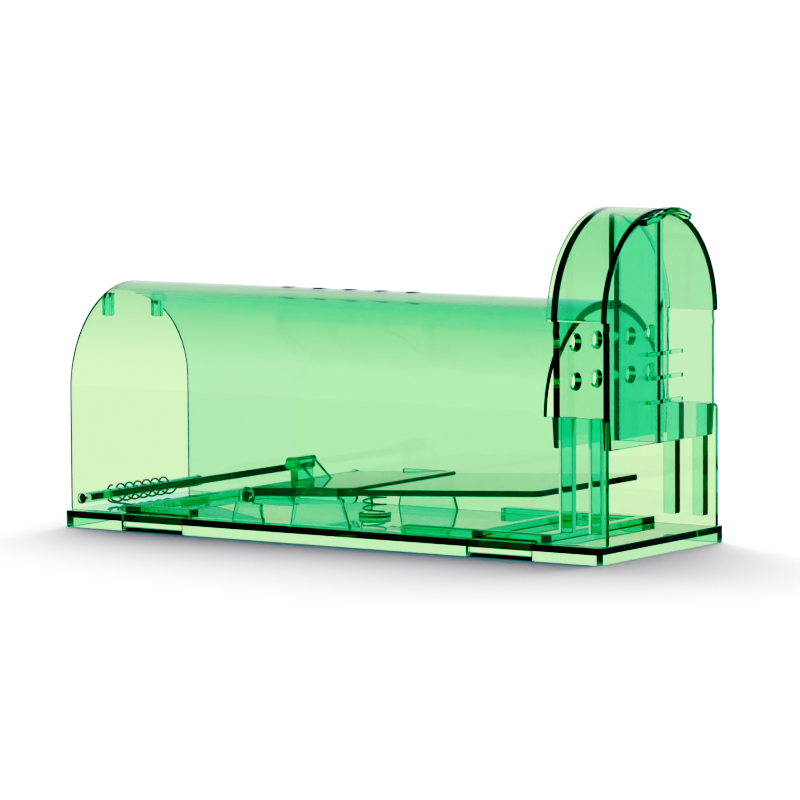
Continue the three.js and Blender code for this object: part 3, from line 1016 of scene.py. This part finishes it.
def tilted(place: Vector, degrees: float) -> Matrix:
    """Return the move that tips a level piece up about a hinge line along Y.

    Args:
        place: The hinge.
        degrees: How far the +X end rises.

    Returns:
        The matrix, in millimetres.
    """
    return Matrix.Translation(place) @ Matrix.Rotation(-math.radians(degrees), 4, "Y")


@dataclass
class Door:
    """The round-topped door with the bar along its foot that it turns on."""

    angle: float = 10.0
    plate: float = 1.8
    bar: float = 1.4
    foot: float = 0.6
    gap_depth: float = 4.6
    gap_side: float = 1.4
    rim: float = 0.3

    def build(self, material: bpy.types.Material) -> None:
        """Build and dress the door."""
        hinge = joint_place("door_hinge")
        box = Box.of("door_panel")
        half = box.y1
        tilt = math.radians(self.angle)
        reach = (box.x1 - hinge.x - self.plate / 2 * math.sin(tilt)) / math.cos(tilt) + 0.1
        centre = reach - half
        gap = Box.of("door_torsion_spring").y1 + self.gap_side
        points: Outline = [(self.foot, -half), (centre, -half)]
        points += arc((centre, 0.0), half, -90, 90, 64)[1:-1]
        points += [(centre, half), (self.foot, half), (self.foot, gap), (self.gap_depth, gap),
                   (self.gap_depth, -gap), (self.foot, -gap)]
        door = Solid.extrude(points, Axis.Z, -self.plate / 2, self.plate / 2, rim=self.rim)
        axle = Box.of("door_axle")
        bar = Solid.rod((0.0, 0.0), self.bar, Axis.Y, axle.y0, axle.y1, rim=1.1)
        door.join(bar).placed(tilted(hinge, self.angle))
        dress(door.piece("door", material), Body.DOOR, Slot.PLASTIC, ["door_panel", "door_axle"])


@dataclass
class Treadle:
    """The tilting floor: lever, thinner paddle, axle bar, catch hook with gussets, ribs and spring peg."""

    angle: float = 2.9
    lever_length: float = 33.6
    rib_start: float = 11.8
    rib_depth: float = 1.9
    lever_top: float = 2.0
    lever_foot: float = -0.3
    paddle_top: float = 1.5
    paddle_plate: float = 1.6
    barrel: float = 2.0
    bar: float = 1.4
    hook_half: float = 4.5
    hook_nose: float = -1.9
    hook_back: float = 2.4
    hook_head: Point = (4.9, 8.2)
    hook_neck: Point = (-0.4, 1.7)
    gusset_plate: float = 1.2
    rib_sides: Point = (2.4, 1.2)
    corner: float = 2.0
    peg_radius: float = 1.6
    peg_depth: float = 1.8

    def hook(self) -> list[Solid]:
        """Return the catch hook and its two gussets."""
        neck, back = self.hook_neck
        under, top = self.hook_head
        points: Outline = [(neck, 0.5), (back, 0.5), (back, under), (self.hook_back, under),
                           (self.hook_back, top), (self.hook_nose, top), (self.hook_nose, under + 0.3),
                           (neck, under)]
        points = rounded(points, {3: 0.4, 4: 1.0, 5: 1.3, 6: 0.8})
        parts = [Solid.extrude(points, Axis.Y, -self.hook_half, self.hook_half, rim=0.45, segments=3)]
        gusset: Outline = [(1.5, 1.5), (7.0, 1.5), (7.0, self.lever_top + 0.1), (2.3, 6.9), (1.5, 6.9)]
        for y in (-self.hook_half, self.hook_half - self.gusset_plate):
            parts.append(Solid.extrude(gusset, Axis.Y, y, y + self.gusset_plate, rim=0.15))
        return parts

    def build(self, material: bpy.types.Material) -> None:
        """Build and dress the treadle."""
        pivot = joint_place("treadle_hinge")
        lever_box = Box.of("treadle_lever")
        paddle_box = Box.of("treadle_paddle")
        half = lever_box.y1
        reach = (paddle_box.x1 - pivot.x) / math.cos(math.radians(self.angle))
        lever = Solid.block((1.2, self.lever_length), (-half, half), (self.lever_foot, self.lever_top), 0.25)
        outline = rectangle(self.lever_length - 1.5, reach, -half + 0.05, half - 0.05)
        outline = rounded(outline, {1: self.corner, 2: self.corner})
        foot = self.paddle_top - self.paddle_plate
        parts = [Solid.extrude(outline, Axis.Z, foot, self.paddle_top, rim=0.22)]
        axle = Box.of("treadle_axle")
        parts.append(Solid.rod((0.0, 0.0), self.bar, Axis.Y, axle.y0, axle.y1, rim=0.7))
        parts.append(Solid.rod((0.0, 0.0), self.barrel, Axis.Y, -half, half, rim=0.3))
        parts += self.hook()
        for side in (-1, 1):
            rib_foot = self.lever_foot - self.rib_depth
            points = rectangle(self.rib_start, self.lever_length, rib_foot, self.lever_foot + 0.6)
            points = rounded(points, {0: 1.7, 1: 1.7})
            near, far = sorted(side * (half - inset) for inset in self.rib_sides)
            parts.append(Solid.extrude(points, Axis.Y, near, far, rim=0.2))
        peg = Box.of("spring_peg")
        peg_x = (peg.middle[0] - pivot.x) / math.cos(math.radians(self.angle))
        parts.append(Solid.rod((peg_x, 0.0), self.peg_radius, Axis.Z, self.lever_foot - self.peg_depth,
                               self.lever_foot + 0.6, rim=0.3))
        lever.join(*parts).placed(tilted(pivot, self.angle))
        nodes = ["treadle_lever", "treadle_paddle", "treadle_axle", "treadle_barrel", "catch_hook",
                 "spring_peg", *sides("hook_gusset"), *sides("treadle_rib")]
        dress(lever.piece("treadle", material), Body.TREADLE, Slot.PLASTIC, nodes)


@dataclass
class Springs:
    """The treadle's return coil and the door's torsion spring with its two legs."""

    return_wire: float = 0.22
    return_turns: float = 3.0
    torsion_wire: float = 0.26
    torsion_turns: int = 6
    floor_leg: Point = (7.6, -2.75)
    door_leg: Point = (9.5, -1.2)
    door_bend: float = 0.6
    door_angle: float = 10.0
    shortened: float = 0.58

    def place(self, name: str, mesh: bpy.types.Mesh, matrix: Matrix) -> bpy.types.Object:
        """Move a wire mesh into the frame, in metres, and return its object."""
        mesh.transform(Matrix.Scale(MM, 4) @ matrix)
        mesh.name = name
        for polygon in mesh.polygons:
            polygon.use_smooth = True
        made = new_object(name, mesh)
        return made

    def build_return(self, material: bpy.types.Material) -> None:
        """Build the compression coil that lifts the treadle."""
        box = Box.of("return_spring")
        x, y, _ = box.middle
        radius = box.length / 2 - self.return_wire
        coil = Coil("return_coil", radius, self.return_wire, self.return_turns,
                    box.height - 2 * self.return_wire)
        floor = box.z0 + self.return_wire
        made = self.place("treadle_spring", coil.mesh(material), Matrix.Translation((x, y, floor)))
        dress(made, Body.TRAP, Slot.STEEL, ["return_spring"])
        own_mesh(made)

    def leave(self, radius: float) -> float:
        """Return the angle in degrees at which the floor leg leaves the coil's underside."""
        x, z = self.floor_leg
        return math.degrees(math.atan2(z, x) - math.acos(radius / math.hypot(x, z)))

    def floor_path(self, radius: float) -> Outline:
        """Return the floor leg about the coil's axis: part of a turn, then straight down to the floor."""
        last = self.leave(radius)
        return arc((0.0, 0.0), radius, last - 40, last, 10) + [self.floor_leg]

    def door_path(self, radius: float) -> Outline:
        """Return the door leg about the coil's axis: through the door's gap, then along its underside."""
        bend = self.door_bend
        corner = (radius + bend, self.door_leg[1] + bend)
        return [(radius, 0.1)] + arc(corner, bend, 180, 270, 6) + [self.door_leg]

    def build_torsion(self, material: bpy.types.Material) -> None:
        """Build the torsion coil on the door's bar, with a leg to the floor and a leg under the door."""
        hinge = joint_place("door_hinge")
        box = Box.of("door_torsion_spring")
        radius = box.height / 2 - self.torsion_wire
        near, far = box.y0 + self.torsion_wire, box.y1 - self.torsion_wire
        part = (self.leave(radius) % 360) / 360
        coil = Coil("torsion_coil", radius, self.torsion_wire, self.torsion_turns + part, far - near)
        turn = Matrix.Translation((hinge.x, far, hinge.z)) @ Matrix.Rotation(math.pi / 2, 4, "X")
        made = self.place("door_spring", coil.mesh(material), turn)
        dress(made, Body.TRAP, Slot.STEEL, ["door_torsion_spring"])
        door = tilted(hinge, self.door_angle)
        legs = (("floor_leg", self.floor_path(radius), near, Body.TRAP, Matrix.Translation(hinge)),
                ("door_leg", self.door_path(radius), far, Body.DOOR, door))
        for name, path, y, body, matrix in legs:
            mesh = wire_along(name, [Vector((a, y, b)) for a, b in path], self.torsion_wire)
            mesh.materials.clear()
            mesh.materials.append(material)
            dress(self.place(name, mesh, matrix), body, Slot.STEEL, [])


# ---- studio


@dataclass(frozen=True)
class Camera:
    """The studio camera: its angles, distance and framing in millimetres."""

    azimuth: float = 33.76
    elevation: float = 5.26
    roll: float = 0.30
    distance: float = 1445.8
    offset: Point = (2.80, 35.72)
    focal_pixels: float = 5428.4
    image: int = 800
    sensor: float = 36.0

    def build(self) -> None:
        """Create the camera and make it the scene's."""
        a, e, r = (math.radians(value) for value in (self.azimuth, self.elevation, self.roll))
        back = Vector((math.sin(a) * math.cos(e), -math.cos(a) * math.cos(e), math.sin(e)))
        right = Vector((math.cos(a), math.sin(a), 0.0))
        up = back.cross(right)
        turned_right = right * math.cos(r) - up * math.sin(r)
        turned_up = right * math.sin(r) + up * math.cos(r)
        place = turned_right * self.offset[0] + turned_up * self.offset[1] + back * self.distance
        data = bpy.data.cameras.new("studio_camera")
        data.sensor_width = self.sensor
        data.lens = self.focal_pixels / self.image * self.sensor
        data.clip_start = 0.05
        data.clip_end = 20.0
        made = new_object("studio_camera", data)
        rows = [[turned_right[i], turned_up[i], back[i], place[i] * MM] for i in range(3)]
        made.matrix_world = Matrix((*rows, (0.0, 0.0, 0.0, 1.0)))
        bpy.context.scene.camera = made


@dataclass(frozen=True)
class Studio:
    """A glowing pale floor, a white surround and soft lamps, as for clear plastic."""

    seen: float = 1.06
    mirrored_low: float = 1.1
    mirrored_high: float = 0.05
    mirrored_start: float = 0.42
    mirrored_end: float = 0.85
    mirrored_floor: float = 0.6
    through_tint: tuple[float, float, float] = (1.0, 1.0, 0.62)
    # Painted shade on the plastic's edges: the surround dims a little after the first bounce inside the
    # plastic, and by this share after each further bounce.
    first_bounce_shade: float = 0.03
    inner_bounce_shade: float = 0.5
    floor_light: float = 0.34
    sun_strength: float = 3.9
    sun_spread: float = 76.0
    sun_azimuth: float = -29.0
    sun_height: float = 40.0
    glint_place: tuple[float, float, float] = (1.0, -0.9, 0.25)
    glint_size: float = 0.06
    glint_watts: float = 0.6
    floor_size: float = 6.0
    floor_tone: float = 0.97
    response: tuple[tuple[Point, ...], ...] = (
        ((0.13, 0.002), (0.2, 0.045), (0.3, 0.28), (0.4, 0.4)),
        ((0.1, 0.02), (0.25, 0.22)),
        ((0.1, 0.016), (0.22, 0.2)),
    )

    def shiny(self, tree: bpy.types.NodeTree) -> bpy.types.NodeSocket:
        """Return a socket that is 1 for a ray mirrored off the plastic and 0 for one passed through it."""
        path = add_node(tree, "ShaderNodeLightPath").outputs
        mirrored = maths(tree, "SUBTRACT", path["Is Reflection Ray"], path["Is Diffuse Ray"])
        return maths(tree, "MAXIMUM", mirrored)

    def brightness(self, tree: bpy.types.NodeTree,
                   height: bpy.types.NodeSocket | None) -> bpy.types.NodeSocket:
        """Build the level that the plastic sees: less for a mirrored ray, and less again for a ray that has
        bounced inside the plastic, which paints shade into its edges.

        Args:
            tree: The world's or the floor's tree.
            height: The upward share of the ray's direction, or none for the floor.

        Returns:
            The socket with the level.
        """
        mirrored: Any = self.mirrored_floor
        if height is not None:
            rise = add_node(tree, "ShaderNodeMapRange", {"interpolation_type": "SMOOTHSTEP"}, Value=height,
                            From_Min=self.mirrored_start, From_Max=self.mirrored_end,
                            To_Min=self.mirrored_low, To_Max=self.mirrored_high)
            mirrored = rise.outputs["Result"]
        # Painted shade: the level falls with each bounce the ray has made inside the plastic.
        depth = add_node(tree, "ShaderNodeLightPath").outputs["Glossy Depth"]
        once = maths(tree, "MULTIPLY", maths(tree, "MINIMUM", depth, 1.0), self.first_bounce_shade)
        turns = maths(tree, "MAXIMUM", maths(tree, "SUBTRACT", depth, 1.0))
        inner = maths(tree, "MULTIPLY", maths(tree, "POWER", self.inner_bounce_shade, turns),
                      maths(tree, "SUBTRACT", 1.0, once))
        change = maths(tree, "SUBTRACT", mirrored, inner)
        return maths(tree, "ADD", inner, maths(tree, "MULTIPLY", self.shiny(tree), change))

    def tint(self, tree: bpy.types.NodeTree, white: bpy.types.NodeSocket) -> bpy.types.NodeSocket:
        """Return the light's colour: warm where it comes through the plastic, white where white is 1."""
        return mix_colours(tree, white, self.through_tint, (1.0, 1.0, 1.0))

    def build_world(self) -> None:
        """Make the pale surround."""
        world = bpy.data.worlds.new("white_surround")
        bpy.context.scene.world = world
        world.use_nodes = True
        tree = world.node_tree
        background = tree.nodes["Background"]
        place = add_node(tree, "ShaderNodeTexCoord").outputs["Generated"]
        level = self.brightness(tree, add_node(tree, "ShaderNodeSeparateXYZ", Vector=place).outputs["Z"])
        path = add_node(tree, "ShaderNodeLightPath").outputs
        lit = add_node(tree, "ShaderNodeMix", Factor=path["Is Diffuse Ray"], A=level, B=self.floor_light)
        pick = add_node(tree, "ShaderNodeMix", Factor=path["Is Camera Ray"], A=lit.outputs["Result"],
                        B=self.seen)
        tree.links.new(pick.outputs["Result"], background.inputs["Strength"])
        direct = maths(tree, "MAXIMUM", path["Is Camera Ray"], path["Is Diffuse Ray"])
        white = maths(tree, "MAXIMUM", direct, self.shiny(tree))
        tree.links.new(self.tint(tree, white), background.inputs["Color"])

    def build_floor(self) -> None:
        """Make the floor: it glows where it is seen through the plastic, and takes the soft shadow."""
        half = self.floor_size / 2
        mesh = bpy.data.meshes.new("studio_floor")
        corners = [(x, y, 0.0) for x, y in rectangle(-half, half, -half, half)]
        mesh.from_pydata(corners, [], [(0, 1, 2, 3)])
        floor = new_object("studio_floor", mesh)
        material, tree, unused = new_material("floor_panel")
        tree.nodes.remove(unused)
        paper = add_node(tree, "ShaderNodeBsdfDiffuse", Color=(*(self.floor_tone,) * 3, 1.0))
        glow = add_node(tree, "ShaderNodeEmission", Strength=self.brightness(tree, None),
                        Color=self.tint(tree, self.shiny(tree)))
        seen = add_node(tree, "ShaderNodeLightPath").outputs["Is Camera Ray"]
        pick = add_node(tree, "ShaderNodeMixShader", Fac=seen)
        tree.links.new(glow.outputs["Emission"], pick.inputs[1])
        tree.links.new(paper.outputs["BSDF"], pick.inputs[2])
        tree.links.new(pick.outputs["Shader"], tree.nodes["Material Output"].inputs["Surface"])
        mesh.materials.append(material)

    def build_glint(self) -> None:
        """Make the small lamp near the camera that gives the rims their glints."""
        data = bpy.data.lights.new("glint_lamp", "AREA")
        data.size = self.glint_size
        data.energy = self.glint_watts
        made = new_object("glint_lamp", data)
        made.location = self.glint_place
        made.rotation_euler = (-Vector(self.glint_place)).to_track_quat("-Z", "Y").to_euler()

    def build_sun(self) -> None:
        """Make the broad light from behind that gives the soft shadow in front of the trap."""
        data = bpy.data.lights.new("back_light", "SUN")
        data.energy = self.sun_strength
        data.angle = math.radians(self.sun_spread)
        made = new_object("back_light", data)
        a, e = math.radians(self.sun_azimuth), math.radians(self.sun_height)
        place = Vector((math.sin(a) * math.cos(e), math.cos(a) * math.cos(e), math.sin(e)))
        made.rotation_euler = (-place).to_track_quat("-Z", "Y").to_euler()
        made.visible_glossy = False
        made.visible_transmission = False

    def build_response(self, settings: bpy.types.ColorManagedViewSettings) -> None:
        """Set the camera's response: deep tones fall away, red soonest, and pale ones are kept.

        Args:
            settings: The scene's view settings.
        """
        settings.use_curve_mapping = True
        for channel, points in enumerate(self.response):
            curve = settings.curve_mapping.curves[channel]
            for level, answer in points:
                point = curve.points.new(level, answer)
                point.handle_type = "AUTO_CLAMPED"
        settings.curve_mapping.update()

    def build(self) -> None:
        """Build the studio and set how its light is carried through the plastic."""
        self.build_world()
        self.build_floor()
        self.build_sun()
        self.build_glint()
        scene = bpy.context.scene
        scene.view_settings.view_transform = "Standard"
        self.build_response(scene.view_settings)
        scene.cycles.max_bounces = 32
        scene.cycles.transmission_bounces = 32
        scene.cycles.glossy_bounces = 24
        scene.cycles.diffuse_bounces = 4
        scene.cycles.transparent_max_bounces = 16
        scene.cycles.caustics_reflective = False
        scene.cycles.caustics_refractive = False


def main() -> None:
    """Build the finishes, the sub-assemblies and the studio, in order."""
    logging.basicConfig(level=logging.INFO, format="%(message)s")
    plastic = ClearPlastic().build()
    wire = SpringWire().build()
    Camera().build()
    for assembly in (Tray(), Cover(), Cap(), Door(), Treadle()):
        assembly.build(plastic)
    springs = Springs()
    springs.build_return(wire)
    springs.build_torsion(wire)
    Studio().build()


if __name__ == "__main__":
    main()
